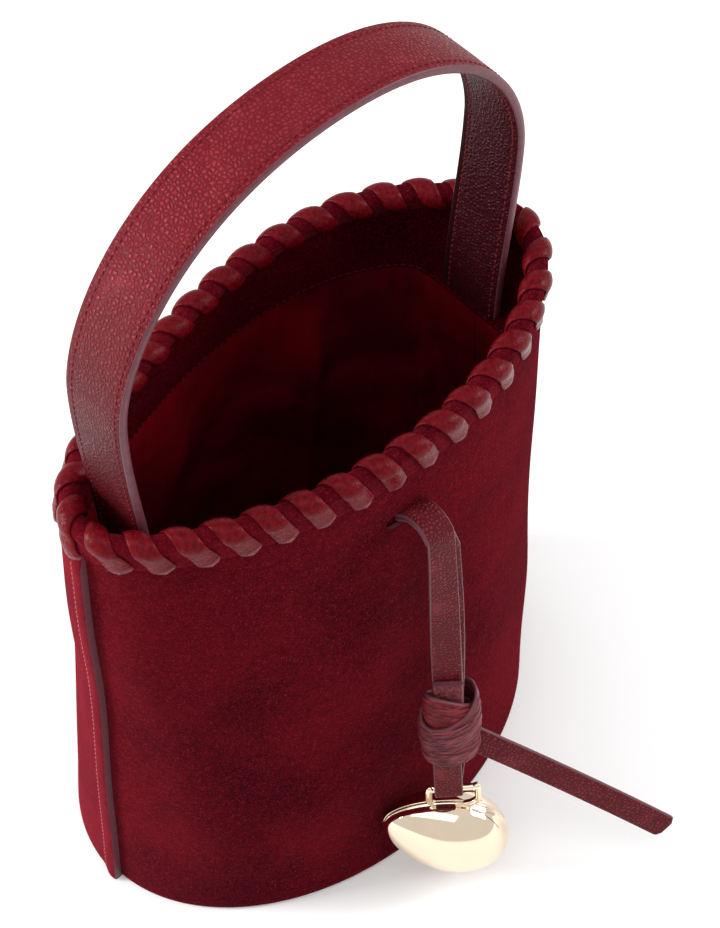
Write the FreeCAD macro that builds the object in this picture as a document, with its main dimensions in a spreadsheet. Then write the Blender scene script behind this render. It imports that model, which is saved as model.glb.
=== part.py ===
"""Suede bucket bag with a whipstitched rim, a leather top handle and a hanging pebble charm.

Millimetres.  The origin is on the floor at the centre of the base, +Z is up, -Y is the
front with the charm, and +X is the bag's own left hand side.
"""
import FreeCAD, Part
import math
import os
from FreeCAD import Placement, Rotation, Vector

CELLS = [
    # alias, value, meaning
    ("BodyHeight", 250.0, "floor to the top of the rim"),
    ("MouthHalfWidth", 103.5, "centre of the rim roll, along X"),
    ("MouthHalfDepth", 50.7, "centre of the rim roll, along Y"),
    ("MouthPinch", 0.03, "how much the mouth's corners are drawn in"),
    ("MouthShift", 14.9, "middle of both mouth edges lies towards +X"),
    ("MouthShiftDifference", 6.5, "the back edge's extra shift"),
    ("FootHalfWidth", 106.6, "base outline along X"),
    ("FootHalfDepth", 75.1, "base outline along Y"),
    ("FootCentreX", -2.2, "centre of the base outline"),
    ("FootCentreY", 3.8, "centre of the base outline"),
    ("SuedeThickness", 1.55, "outer panels"),
    ("LiningThickness", 0.95, "lining fabric"),
    ("FacingThickness", 1.25, "suede band inside the mouth"),
    ("FacingDepth", 48.0, "rim top to the facing's lower seam"),
    ("LayerGap", 0.2, "air between sewn layers"),
    ("SeamLap", 10.0, "the back panel's lap over the front panel"),
    ("RollRadius", 4.7, "rolled suede edge"),
    ("RollCordRadius", 3.1, "filler cord inside the roll"),
    ("LaceTurns", 34.0, "turns of lace round the whole mouth"),
    ("LaceWidth", 8.6, "flat lace"),
    ("LaceThickness", 1.2, "flat lace"),
    ("LaceDrop", 10.0, "roll centre to the lace's lower ends, outside"),
    ("LaceInnerDrop", 5.3, "roll centre to the lace's lower ends, inside"),
    ("LaceRollGap", 0.6, "air between the roll and the lace over it"),
    ("WallFlare", 1.3, "how much the wall widens from the roll down to the lace's ends"),
    ("FacingFlare", 1.0, "room for the facing where it is drawn in beside the handle"),
    ("BaseThickness", 2.0, "suede base panel"),
    ("BoardThickness", 2.0, "stiffener in the base"),
    ("BoardInset", 5.0, "base outline to the stiffener's edge"),
    ("HandleWidth", 27.5, "strap of the handle"),
    ("HandleThickness", 4.0, "two leathers and the core"),
    ("HandleRise", 132.9, "rim top to the top of the arch"),
    ("HandleSpread", 90.3, "half the arch at its widest"),
    ("HandleRootX", 84.2, "half the distance between the sewn ends"),
    ("HandleTabDepth", 38.0, "rim top down to the sewn end's edge"),
    ("HandleShoulder", 52.6, "rim top to the widest place of the arch"),
    ("HandlePivotRise", 14.0, "rim top up to where the strap bends"),
    ("HandleClearance", 0.8, "gap round the bending line"),
    ("HandleHornDrop", 10.5, "bending line down to the top of the sewn ends"),
    ("StitchInset", 3.0, "edge of the handle strap to its stitching"),
    ("ThreadWidth", 0.7, "a row of stitching"),
    ("ThreadHeight", 0.3, "stitching above the leather"),
    ("StrapWidth", 11.5, "charm strap"),
    ("StrapThickness", 1.7, "one layer of the charm strap"),
    ("SlotWidth", 18.0, "slit in the front panel"),
    ("SlotHeight", 7.5, "slit in the front panel"),
    ("SlotLevel", 214.5, "floor to the slit's middle"),
    ("SlotX", -2.5, "slit's middle, a little off the strap's line"),
    ("StrapBendRadius", 8.0, "the strap's bend over the slit"),
    ("StrapLayerGap", 0.1, "air between the strap's two layers"),
    ("CharmPivotY", -70.0, "bend of the charm strap"),
    ("CharmPivotLevel", 211.0, "bend of the charm strap"),
    ("CharmLean", 6.4, "degrees the charm leans out over the flaring front"),
    ("CharmDrift", 1.5, "degrees the charm hangs off to the side"),
    ("SwayDrop", 18.0, "swing axis to sway axis"),
    ("KnotDrop", 84.0, "swing axis to the knot's top"),
    ("KnotHeight", 43.0, "three turns of strap"),
    ("KnotHalfWidth", 11.2, "outside of the turns"),
    ("KnotHalfDepth", 9.0, "outside of the turns"),
    ("TuckWidth", 8.5, "cut end of the strap in the knot's mouth"),
    ("TuckThickness", 1.6, "cut end of the strap"),
    ("BailDrop", 152.0, "swing axis to the bail's top bar"),
    ("BailWireRadius", 1.5, "bail"),
    ("BailHalfWidth", 7.9, "middle of one leg to the bail's centre"),
    ("BailCornerRadius", 3.6, "bend of the bail"),
    ("PebbleHalfWidth", 24.0, "pebble charm"),
    ("PebbleHalfHeight", 20.0, "pebble charm"),
    ("PebbleHalfDepth", 15.2, "pebble charm"),
    ("PebbleGap", 9.2, "bail's top bar to the top of the pebble"),
    ("PebbleOffset", -3.0, "pebble's centre to one side of the bail"),
    ("PebbleShell", 1.2, "thickness of the hollow shells"),
    ("CharmTurn", -40.0, "degrees the pebble is turned about the vertical"),
    ("KnotTurn", -25.0, "degrees the knot is turned about the vertical"),
    ("TailLength", 97.0, "loose end of the strap beyond the knot"),
    ("TailRootX", 14.0, "where the loose end leaves the knot"),
    ("TailRootY", -5.0, "where the loose end leaves the knot"),
    ("TailYaw", -48.0, "degrees the loose end is turned towards the front"),
    ("TailPitch", 39.0, "degrees the loose end points down"),
    ("TailRoll", -20.0, "degrees the loose end is twisted"),
]

doc = FreeCAD.newDocument("BucketBag")
sheet = doc.addObject("Spreadsheet::Sheet", "Sizes")
for row, (alias, value, meaning) in enumerate(CELLS, start=1):
    sheet.set("A%d" % row, meaning)
    sheet.set("B%d" % row, str(value))
    sheet.setAlias("B%d" % row, alias)
doc.recompute()


def size(alias):
    """Value of a driving dimension."""
    return float(sheet.get(alias))


ROLL_LEVEL = size("BodyHeight") - size("RollRadius") - size("LaceThickness")
WALL_TOP = ROLL_LEVEL - size("RollRadius") - 0.2
FACING_FOOT = size("BodyHeight") - size("FacingDepth")
WALL_FROM_ROLL = 2.4          # outer face of the front panel, outward from the roll's centre
FACING_BACK = -size("SuedeThickness") - size("LayerGap")
FACING_FACE = FACING_BACK - size("FacingThickness")
LINING_FACE = FACING_BACK - size("LiningThickness")
LEFT, RIGHT = math.pi, 2 * math.pi
PARTS = []


# ---------------------------------------------------------------- helpers

def keep(label, obj):
    """Register a sub-part under its label."""
    obj.Label = label
    PARTS.append(obj)
    return obj


def feature(label, shape, placement=None):
    """A sub-part whose shape is worked out by Part's own functions."""
    obj = doc.addObject("Part::Feature", label)
    obj.Shape = shape
    if placement is not None:
        obj.Placement = placement
    return keep(label, obj)


def primitive(kind, name, bindings):
    """A Part primitive whose sizes follow the sheet."""
    obj = doc.addObject(kind, name)
    for prop, expression in bindings.items():
        obj.setExpression(prop, expression)
    return obj


def boolean(kind, name, base, tool):
    """A Part::Cut or Part::Common of two objects."""
    obj = doc.addObject(kind, name)
    obj.Base = base
    obj.Tool = tool
    return obj


def smooth_edge(points):
    """One smooth edge through the points."""
    curve = Part.BSplineCurve()
    curve.interpolate(points)
    return curve.toShape()


def strip_wire(outer, inner):
    """Closed wire between two rows of points that run the same way."""
    edges = [smooth_edge(outer), Part.makeLine(outer[-1], inner[-1]),
             smooth_edge(inner[::-1]), Part.makeLine(inner[0], outer[0])]
    return Part.Wire(edges)


# ---------------------------------------------------------------- outline of the bag

def mouth_point(t):
    """Centre of the rim roll at angle t; t = 0 is +X and t = 90 degrees is the back."""
    pinch = 1 - size("MouthPinch") * math.sin(2 * t) ** 2
    shift = size("MouthShift") + size("MouthShiftDifference") * math.sin(t)
    x = size("MouthHalfWidth") * math.cos(t) * pinch + shift * math.sin(t) ** 2
    y = size("MouthHalfDepth") * math.sin(t) * pinch
    return Vector(x, y, 0)


def foot_point(t):
    """Base outline at angle t."""
    return Vector(size("FootCentreX") + size("FootHalfWidth") * math.cos(t),
                  size("FootCentreY") + size("FootHalfDepth") * math.sin(t), 0)


def outward(curve, t):
    """Unit normal of a plane outline."""
    step = 1e-3
    along = curve(t + step) - curve(t - step)
    return Vector(along.y, -along.x, 0).normalize()


def pulled_flat(x, flat):
    """Draw an end in to a flat at +-flat, with rounded corners."""
    sharpness = 30
    reach = max(abs(x), 1.0)
    return math.copysign((reach ** -sharpness + flat ** -sharpness) ** (-1 / sharpness), x)


def wall_point(t, level, offset, flat=None):
    """Point of the wall; offset 0 is the front panel's outer face, minus is inward."""
    mouth = mouth_point(t) + outward(mouth_point, t) * (WALL_FROM_ROLL + offset)
    foot = foot_point(t) + outward(foot_point, t) * offset
    share = level / ROLL_LEVEL
    point = foot * (1 - share) + mouth * share
    if flat is not None:
        point.x = pulled_flat(point.x, flat)
    return Vector(point.x, point.y, level)


def wall_solid(t_from, t_to, face, back, low, high, flat_low=None, flat_high=None):
    """Sheet of the wall between two angles, two offsets and two levels."""
    count = max(4, int(abs(t_to - t_from) / math.radians(6)))
    turns = [t_from + (t_to - t_from) * i / count for i in range(count + 1)]
    wires = []
    for level, flat in ((low, flat_low), (high, flat_high)):
        outer = [wall_point(t, level, face, flat) for t in turns]
        inner = [wall_point(t, level, back, flat and flat - (face - back)) for t in turns]
        wires.append(strip_wire(outer, inner))
    return Part.makeLoft(wires, True, True)


def lap_angle(length):
    """Angle that a length takes up on the outline beside a side seam."""
    return length / size("FootHalfDepth")


# ---------------------------------------------------------------- body of the bag

def slot_tool():
    """Block that cuts the slit for the charm strap through the front panel and the facing."""
    outside, inside = -62.0, -46.0
    corner = Vector(size("SlotX") - size("SlotWidth") / 2, outside,
                    size("SlotLevel") - size("SlotHeight") / 2)
    return Part.makeBox(size("SlotWidth"), inside - outside, size("SlotHeight"), corner)


def outer_panels():
    """Front panel, and the back panel that laps over it at both side seams."""
    lap = lap_angle(size("SeamLap"))
    low = size("BaseThickness") + size("LayerGap")
    front = wall_solid(LEFT - lap, RIGHT + lap, 0, -size("SuedeThickness"), low, WALL_TOP)
    feature("front_panel", front.cut(slot_tool()))
    back_face = size("SuedeThickness") + size("LayerGap")
    feature("back_panel", wall_solid(0, LEFT, back_face, size("LayerGap"), low, WALL_TOP))


def side_seam_threads():
    """Row of stitching beside each painted panel edge."""
    edge_distance = lap_angle(2.6)
    width = lap_angle(size("ThreadWidth"))
    surface = size("SuedeThickness") + size("LayerGap")
    low, high = size("BaseThickness") + 4.0, WALL_TOP - 4.0
    for label, seam, way in (("seam_thread_left", LEFT, -1), ("seam_thread_right", 0.0, 1)):
        near = seam + way * edge_distance
        row = wall_solid(near, near + way * width, surface + 0.35, surface + 0.05, low, high)
        feature(label, row)


def inner_walls():
    """Facing band under the rim, its seam, and the lining below it."""
    flat = size("HandleRootX") + size("HandleThickness") / 2 + 0.3 + size("FacingThickness")
    middle_gap = 0.002          # angle between the halves at the side seams
    halves = (("front", LEFT + middle_gap, RIGHT - middle_gap), ("back", middle_gap, LEFT - middle_gap))
    for side, t_from, t_to in halves:
        band = wall_solid(t_from, t_to, FACING_BACK, FACING_FACE, FACING_FOOT, WALL_TOP, flat)
        if side == "front":
            band = band.cut(slot_tool())
        feature("facing_" + side, band)
        lining_low = size("BaseThickness") + size("BoardThickness") + size("LiningThickness") + 0.4
        lining = wall_solid(t_from, t_to, FACING_BACK, LINING_FACE, lining_low, FACING_FOOT - 0.1,
                            None, flat)
        feature("lining_" + side, lining)
        inner_flat = flat - size("FacingThickness") - 0.1
        seam = wall_solid(t_from, t_to, FACING_FACE - 0.1, FACING_FACE - 0.5,
                          FACING_FOOT + 1.0, FACING_FOOT + 1.8, inner_flat, inner_flat)
        feature("facing_thread_" + side, seam)


def oval_plate(label, level, thickness, inset):
    """Flat plate with the base outline; level, thickness and inset are expressions."""
    outline = primitive("Part::Ellipse", label + "_outline", {
        "MajorRadius": "Sizes.FootHalfWidth - (%s)" % inset,
        "MinorRadius": "Sizes.FootHalfDepth - (%s)" % inset})
    plate = doc.addObject("Part::Extrusion", label)
    plate.Base = outline
    plate.DirMode = "Custom"
    plate.Dir = Vector(0, 0, 1)
    plate.Solid = True
    plate.setExpression("LengthFwd", thickness)
    plate.setExpression("Placement.Base.x", "Sizes.FootCentreX")
    plate.setExpression("Placement.Base.y", "Sizes.FootCentreY")
    plate.setExpression("Placement.Base.z", level)
    return keep(label, plate)


def base():
    """Suede base, stiffener board and the lining over it."""
    oval_plate("base_panel", "0", "Sizes.BaseThickness", "0.4")
    oval_plate("base_board", "Sizes.BaseThickness + Sizes.LayerGap", "Sizes.BoardThickness",
               "Sizes.BoardInset")
    oval_plate("lining_base", "Sizes.BaseThickness + Sizes.BoardThickness + 2 * Sizes.LayerGap",
               "Sizes.LiningThickness", "Sizes.BoardInset - 1")


# ---------------------------------------------------------------- rim

def rim_path():
    """Closed centreline of the rim roll."""
    count = 48
    points = [mouth_point(2 * math.pi * i / count) + Vector(0, 0, ROLL_LEVEL) for i in range(count)]
    curve = Part.BSplineCurve()
    curve.interpolate(points, PeriodicFlag=True)
    return curve


def rim_tube(radius):
    """Solid tube of a radius along the rim."""
    path = rim_path()
    start = path.value(path.FirstParameter)
    ring = Part.Wire(Part.makeCircle(radius, start, path.tangent(path.FirstParameter)[0]))
    return Part.Wire(path.toShape()).makePipeShell([ring], True, True)


def rim_roll():
    """Rolled suede edge and the filler cord inside it."""
    feature("rim_roll", rim_tube(size("RollRadius")).cut(rim_tube(size("RollCordRadius") + 0.1)))
    feature("rim_cord", rim_tube(size("RollCordRadius")))


def lace_turn(wall_face, wall_back):
    """One turn of lace: over the roll and down both faces of the wall.

    Local X runs along the rim, local Y points outward, and the roll's centre is the origin.
    """
    width, thick = size("LaceWidth"), size("LaceThickness")
    drop, inner_drop = size("LaceDrop"), size("LaceInnerDrop")
    inside = size("RollRadius") + size("LaceRollGap")
    along = Vector(1, 0, 0)
    start = Vector(-width / 2, 0, 0)
    outer_leg = wall_face + size("WallFlare") + thick
    inner_leg = wall_back - size("FacingFlare") - thick
    body = Part.makeCylinder(inside + thick, width, start, along)
    front = Part.makeBox(width, thick, drop, Vector(-width / 2, outer_leg - thick, -drop))
    rear = Part.makeBox(width, thick, inner_drop, Vector(-width / 2, inner_leg, -inner_drop))
    core = Part.makeCylinder(inside, width, start, along)
    gap = Part.makeBox(width, outer_leg - inner_leg - 2 * thick, drop,
                       Vector(-width / 2, inner_leg + thick, -drop))
    return body.fuse(front).fuse(rear).cut(core).cut(gap)


def even_angles(count):
    """Angles that divide the mouth into equal lengths, the first at the right side seam."""
    steps = 1440
    reach = [0.0]
    for i in range(steps):
        a, b = 2 * math.pi * i / steps, 2 * math.pi * (i + 1) / steps
        reach.append(reach[-1] + (mouth_point(b) - mouth_point(a)).Length)
    angles = []
    for k in range(count):
        target = reach[-1] * (k + 0.5) / count
        i = next(j for j in range(steps) if reach[j + 1] >= target)
        part = (target - reach[i]) / (reach[i + 1] - reach[i])
        angles.append(2 * math.pi * (i + part) / steps)
    return angles


def rim_lace():
    """Every turn of the lace, front and back."""
    face = WALL_FROM_ROLL
    back_face = face + size("SuedeThickness") + size("LayerGap")
    patterns = {"back": lace_turn(back_face, face + FACING_FACE),
                "front": lace_turn(face, face + FACING_FACE)}
    turns = {"back": [], "front": []}
    for t in even_angles(int(size("LaceTurns"))):
        side = "back" if t < math.pi else "front"
        normal = outward(mouth_point, t)
        heading = math.degrees(math.atan2(normal.y, normal.x)) - 90
        place = mouth_point(t) + Vector(0, 0, ROLL_LEVEL)
        turn = patterns[side].copy()
        turn.Placement = Placement(place, Rotation(Vector(0, 0, 1), heading))
        turns[side].append(turn)
    for side, shapes in turns.items():
        feature("rim_lace_" + side, Part.makeCompound(shapes))


# ---------------------------------------------------------------- handle

def bezier(poles, u):
    """Point of a cubic Bezier curve."""
    v = 1 - u
    return (poles[0] * v ** 3 + poles[1] * 3 * u * v ** 2
            + poles[2] * 3 * u ** 2 * v + poles[3] * u ** 3)


def handle_poles():
    """Lower and upper curve of the right leg, in the XZ plane."""
    top, spread, root = size("BodyHeight"), size("HandleSpread"), size("HandleRootX")
    rise, depth, shoulder = size("HandleRise"), size("HandleTabDepth"), size("HandleShoulder")
    lower = [Vector(root, 0, top - depth), Vector(root, 0, top - 7.0),
             Vector(spread, 0, top + 22.0), Vector(spread, 0, top + shoulder)]
    upper = [lower[3], Vector(spread, 0, top + 82.0),
             Vector(0.74 * spread, 0, top + rise), Vector(0, 0, top + rise)]
    return lower, upper


def leg_parameter(level):
    """Parameter of the lower curve at a level."""
    lower, _ = handle_poles()
    low, high = 0.0, 1.0
    for _ in range(40):
        middle = (low + high) / 2
        if bezier(lower, middle).z < level:
            low = middle
        else:
            high = middle
    return low


def handle_line(level):
    """Centreline of the whole arch, from a level on the right leg to the left one."""
    lower, upper = handle_poles()
    first, steps = leg_parameter(level), 8
    right = [bezier(lower, first + (1 - first) * i / steps) for i in range(steps)]
    right += [bezier(upper, i / (2 * steps)) for i in range(2 * steps)]
    left = [Vector(-p.x, 0, p.z) for p in reversed(right)]
    return right + [upper[3]] + left


def band(line, out, back, width, centre_y=0.0):
    """Band that follows a line in the XZ plane between two offsets, widened along Y."""
    rows = ([], [])
    for i, point in enumerate(line):
        along = line[min(i + 1, len(line) - 1)] - line[max(i - 1, 0)]
        normal = Vector(along.z, 0, -along.x).normalize()
        for row, offset in zip(rows, (out, back)):
            row.append(point + normal * offset + Vector(0, centre_y - width / 2, 0))
    return Part.Face(strip_wire(*rows)).extrude(Vector(0, width, 0))


def pivot_level():
    """Level of the bending line of the handle."""
    return size("BodyHeight") + size("HandlePivotRise")


def thread_row(line, side, way):
    """Stitching on the outer (side 1) or inner (-1) face of the strap, near the edge on side way."""
    near = size("HandleThickness") / 2 + 0.02
    far = size("HandleThickness") / 2 + size("ThreadHeight")
    row = way * (size("HandleWidth") / 2 - size("StitchInset"))
    out, back = max(side * near, side * far), min(side * near, side * far)
    return band(line, out, back, size("ThreadWidth"), row)


def turning_outline(width):
    """Everything of a strap that turns: above the bending line, and a half disc below."""
    reach = 2 * size("HandleSpread")
    above = Part.makeBox(2 * reach, width, reach, Vector(-reach, -width / 2, pivot_level()))
    disc = Part.makeCylinder(width / 2, 2 * reach, Vector(-reach, 0, pivot_level()), Vector(1, 0, 0))
    return above.fuse(disc)


def handle():
    """Two leathers over a core, with a row of stitching near each edge."""
    width, half = size("HandleWidth"), size("HandleThickness") / 2
    leather = 1.55
    line = handle_line(pivot_level() - width / 2)
    whole = turning_outline(width)
    feature("handle_outer", band(line, half, half - leather, width).common(whole))
    feature("handle_inner", band(line, leather - half, -half, width).common(whole))
    core_width = width - 5.0
    core = half - leather - 0.05
    feature("handle_core", band(line, core, -core, core_width).common(turning_outline(core_width)))
    upper_line = handle_line(pivot_level() + 2.0)
    for label, way in (("handle_thread_front", -1), ("handle_thread_back", 1)):
        rows = [thread_row(upper_line, side, way) for side in (1, -1)]
        feature(label, Part.makeCompound(rows))


def handle_tabs():
    """Sewn strap ends inside the mouth, hollowed to clear the turning strap."""
    width, half = size("HandleWidth"), size("HandleThickness") / 2
    lower, _ = handle_poles()
    last = leg_parameter(pivot_level())
    line = [bezier(lower, last * i / 8) for i in range(9)]
    reach = 2 * size("HandleSpread")
    clear = Part.makeCylinder(width / 2 + size("HandleClearance"), reach,
                              Vector(0, 0, pivot_level()), Vector(1, 0, 0))
    horns = Part.makeBox(2 * reach, width, reach,
                         Vector(-reach, -width / 2, pivot_level() - size("HandleHornDrop")))
    tab = band(line, half, -half, width).cut(clear).cut(horns)
    under_rim = [point for point in line if point.z < size("BodyHeight") - 6.0]
    threads = Part.makeCompound([thread_row(under_rim, -1, way) for way in (-1, 1)])
    mirror = (Vector(0, 0, 0), Vector(1, 0, 0))
    feature("handle_tab_right", tab)
    feature("handle_tab_left", tab.mirror(*mirror))
    feature("tab_thread_right", threads)
    feature("tab_thread_left", threads.mirror(*mirror))


# ---------------------------------------------------------------- charm

def charm_place(turn=0.0):
    """Placement of the charm: it hangs down local -Z from the swing axis."""
    lean = Rotation(Vector(1, 0, 0), -size("CharmLean"))
    drift = Rotation(Vector(0, 1, 0), size("CharmDrift"))
    own = Rotation(Vector(0, 0, 1), turn)
    base_point = Vector(0, size("CharmPivotY"), size("CharmPivotLevel"))
    return Placement(base_point, lean.multiply(drift).multiply(own))


def charm_arch():
    """Fixed part of the strap: sewn flat inside, out through the slit and over a bend."""
    half, radius = size("StrapThickness") + size("StrapLayerGap") / 2, size("StrapBendRadius")
    centre = Vector(0, size("CharmPivotY") + radius, size("CharmPivotLevel"))
    arc = [centre + Vector(0, math.cos(a), math.sin(a)) * radius
           for a in (math.radians(50 + 11.0 * i) for i in range(11))]
    inside = [Vector(0, -47.2, 199.0), Vector(0, -47.4, 205.0), Vector(0, -49.6, 210.4)]
    line = inside + arc
    front, back = [], []
    for i, point in enumerate(line):
        along = line[min(i + 1, len(line) - 1)] - line[max(i - 1, 0)]
        normal = Vector(0, along.z, -along.y).normalize()
        shift = Vector(-size("StrapWidth") / 2, 0, 0)
        front.append(point + normal * half + shift)
        back.append(point - normal * half + shift)
    face = Part.Face(strip_wire(front, back))
    feature("charm_arch", face.extrude(Vector(size("StrapWidth"), 0, 0)))


def charm_link():
    """Short strap between the swing axis and the sway axis."""
    width, drop = size("StrapWidth"), size("SwayDrop")
    half = size("StrapThickness") + size("StrapLayerGap") / 2
    plate = Part.makeBox(width, 2 * half, drop, Vector(-width / 2, -half, -drop))
    round_top = Part.makeCylinder(half, width, Vector(-width / 2, 0, 0), Vector(1, 0, 0))
    clear = Part.makeCylinder(width / 2 + 0.5, 4 * half, Vector(0, -2 * half, -drop), Vector(0, 1, 0))
    feature("charm_link", plate.fuse(round_top).cut(clear), charm_place())


def charm_strap():
    """Front and back run of the strap between the sway axis and the knot."""
    width, thick, drop = size("StrapWidth"), size("StrapThickness"), size("SwayDrop")
    end = size("KnotDrop") + size("KnotHeight") / 2 - 0.1
    gap = size("StrapLayerGap") / 2
    for label, start in (("charm_strap_front", -thick - gap), ("charm_strap_back", gap)):
        run = Part.makeBox(width, thick, end - drop, Vector(-width / 2, start, -end))
        disc = Part.makeCylinder(width / 2, thick, Vector(0, start, -drop), Vector(0, 1, 0))
        feature(label, run.fuse(disc), charm_place())


def charm_tuck():
    """Cut end of the strap, tucked into the knot's mouth in front of the strap."""
    width, thick = size("TuckWidth"), size("TuckThickness")
    top = size("KnotDrop") - 3.0
    front = size("StrapThickness") + 1.5 * size("StrapLayerGap") + thick
    length = 12.0
    tuck = Part.makeBox(width, thick, length, Vector(-width / 2, -front, -top - length))
    feature("charm_tuck", tuck, charm_place())


def knot_turn(label, drop, height, taper):
    """One turn of the knot: an oval ring round the strap.  Arguments are expressions."""
    rings = []
    for name, inset in (("outside", "0"), ("inside", "Sizes.StrapThickness + 0.2")):
        outline = primitive("Part::Ellipse", "%s_%s_outline" % (label, name), {
            "MajorRadius": "Sizes.KnotHalfWidth - (%s) - (%s)" % (inset, taper),
            "MinorRadius": "Sizes.KnotHalfDepth - (%s) - (%s)" % (inset, taper)})
        solid = doc.addObject("Part::Extrusion", "%s_%s" % (label, name))
        solid.Base = outline
        solid.DirMode = "Custom"
        solid.Dir = Vector(0, 0, 1)
        solid.Solid = True
        solid.setExpression("LengthFwd", height)
        rings.append(solid)
    ring = boolean("Part::Cut", label, *rings)
    depth = ring.evalExpression(drop)
    place = charm_place(size("KnotTurn"))
    ring.Placement = place.multiply(Placement(Vector(0, 0, -float(depth)), Rotation()))
    return keep(label, ring)


def knot():
    """Three turns of strap, one under the other; the top one is the innermost."""
    third = "Sizes.KnotHeight / 3 - 0.2"
    for index, (label, taper) in enumerate((("knot_turn_top", "1.3"), ("knot_turn_middle", "0"),
                                            ("knot_turn_bottom", "0.6")), start=1):
        knot_turn(label, "Sizes.KnotDrop + Sizes.KnotHeight / 3 * %d" % index, third, taper)


def charm_loop():
    """Doubled strap below the knot that carries the bail."""
    width, thick = size("StrapWidth"), size("StrapThickness")
    gap = size("BailWireRadius") + 0.5
    top = size("KnotDrop") + size("KnotHeight") / 2 + 0.1
    bar = size("BailDrop")
    along = Vector(1, 0, 0)
    start = Vector(-width / 2, 0, -bar)
    outer = Part.makeBox(width, 2 * (gap + thick), bar - top, Vector(-width / 2, -gap - thick, -bar))
    inner = Part.makeBox(width, 2 * gap, bar - top, Vector(-width / 2, -gap, -bar))
    loop = outer.fuse(Part.makeCylinder(gap + thick, width, start, along))
    loop = loop.cut(inner).cut(Part.makeCylinder(gap, width, start, along))
    feature("charm_loop", loop, charm_place(size("CharmTurn")))


def pebble_drop():
    """Swing axis to the pebble's centre."""
    return size("BailDrop") + size("PebbleGap") + size("PebbleHalfHeight")


def charm_bail():
    """Bent wire bail with both legs in the top of the pebble."""
    reach, corner, bar = size("BailHalfWidth"), size("BailCornerRadius"), -size("BailDrop")
    foot = bar - size("PebbleGap") - 4.0
    bend = corner * (1 - math.sqrt(0.5))
    path = Part.Wire([
        Part.makeLine(Vector(-reach, 0, foot), Vector(-reach, 0, bar - corner)),
        Part.Arc(Vector(-reach, 0, bar - corner), Vector(-reach + bend, 0, bar - bend),
                 Vector(-reach + corner, 0, bar)).toShape(),
        Part.makeLine(Vector(-reach + corner, 0, bar), Vector(reach - corner, 0, bar)),
        Part.Arc(Vector(reach - corner, 0, bar), Vector(reach - bend, 0, bar - bend),
                 Vector(reach, 0, bar - corner)).toShape(),
        Part.makeLine(Vector(reach, 0, bar - corner), Vector(reach, 0, foot))])
    section = Part.Wire(Part.makeCircle(size("BailWireRadius"), Vector(-reach, 0, foot), Vector(0, 0, 1)))
    feature("charm_bail", path.makePipeShell([section], True, True), charm_place(size("CharmTurn")))


def pebble():
    """Two hollow half shells, parted on the plane of the bail."""
    shells = []
    for name, inset in (("outside", "0"), ("inside", "Sizes.PebbleShell")):
        shells.append(primitive("Part::Ellipsoid", "pebble_" + name, {
            "Radius1": "Sizes.PebbleHalfHeight - %s" % inset,
            "Radius2": "Sizes.PebbleHalfWidth - %s" % inset,
            "Radius3": "Sizes.PebbleHalfDepth - %s" % inset}))
    hollow = boolean("Part::Cut", "pebble_hollow", *shells)
    centre = Placement(Vector(size("PebbleOffset"), 0, -pebble_drop()), Rotation())
    place = charm_place(size("CharmTurn")).multiply(centre)
    for label, front in (("pebble_front_shell", True), ("pebble_back_shell", False)):
        reach = 2 * size("PebbleHalfWidth")
        block = primitive("Part::Box", label + "_side", {
            "Length": "4 * Sizes.PebbleHalfWidth", "Height": "4 * Sizes.PebbleHalfWidth",
            "Width": "2 * Sizes.PebbleHalfWidth"})
        block.Placement.Base = Vector(-reach, -reach - 0.03 if front else 0.03, -reach)
        half = boolean("Part::Common", label + "_half", hollow, block)
        bail = doc.getObject("charm_bail").Shape.copy()
        bail.Placement = centre.inverse()
        seat = doc.addObject("Part::Feature", label + "_seat")
        seat.Shape = bail.makeOffsetShape(0.03, 1e-3)
        shell = boolean("Part::Cut", label, half, seat)
        shell.Placement = place
        keep(label, shell)


def charm_tail():
    """Loose end of the strap, standing out from the knot's side."""
    width, thick, length = size("StrapWidth"), size("StrapThickness"), size("TailLength")
    strip = Part.makeBox(length, thick, width, Vector(0, -thick / 2, -width / 2))
    rounded = [e for e in strip.Edges if abs(e.tangentAt(0).y) > 0.9
               and e.BoundBox.XMax > length - 0.1]
    strip = strip.makeFillet(2.0, rounded)
    hinge = Part.makeCylinder(thick / 2, width, Vector(0, 0, -width / 2), Vector(0, 0, 1))
    strip = strip.fuse(hinge).removeSplitter()
    root = Vector(size("TailRootX"), size("TailRootY"), -size("KnotDrop") - size("KnotHeight"))
    heading = Rotation(size("TailYaw"), size("TailPitch"), size("TailRoll"))
    feature("charm_tail", strip, Placement(charm_place().multVec(root), heading))


# ---------------------------------------------------------------- build and write

def check_and_write():
    """Refuse anything failed or broken, then write one file for each sub-part."""
    doc.recompute()
    for obj in doc.Objects:
        bad = [state for state in obj.State if state in ("Invalid", "Error")]
        if bad:
            raise RuntimeError("%s is %s" % (obj.Label, bad))
    for obj in PARTS:
        if obj.Shape.isNull() or not obj.Shape.isValid() or not obj.Shape.Solids:
            raise RuntimeError("%s has no sound shape" % obj.Label)
    os.makedirs("parts", exist_ok=True)
    for obj in PARTS:
        obj.Shape.exportStep(os.path.join("parts", obj.Label + ".step"))
    print("wrote %d sub-parts" % len(PARTS))


outer_panels()
side_seam_threads()
inner_walls()
base()
rim_roll()
rim_lace()
handle()
handle_tabs()
charm_arch()
charm_link()
charm_strap()
charm_tuck()
knot()
charm_loop()
charm_bail()
pebble()
charm_tail()
check_and_write()
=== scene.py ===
"""The looks of the suede bucket bag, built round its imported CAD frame.

Lengths are millimetres until a mesh is made.  The front with the charm is -Y, the bag's own
left is +X, and an angle t runs round the bag: 0 is +X and 90 degrees is the back.
"""
import random
from collections import Counter
from itertools import accumulate
from math import copysign, cos, degrees, exp, pi, radians, sin, sqrt
import bpy
from mathutils import Euler, Matrix, Vector


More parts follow.
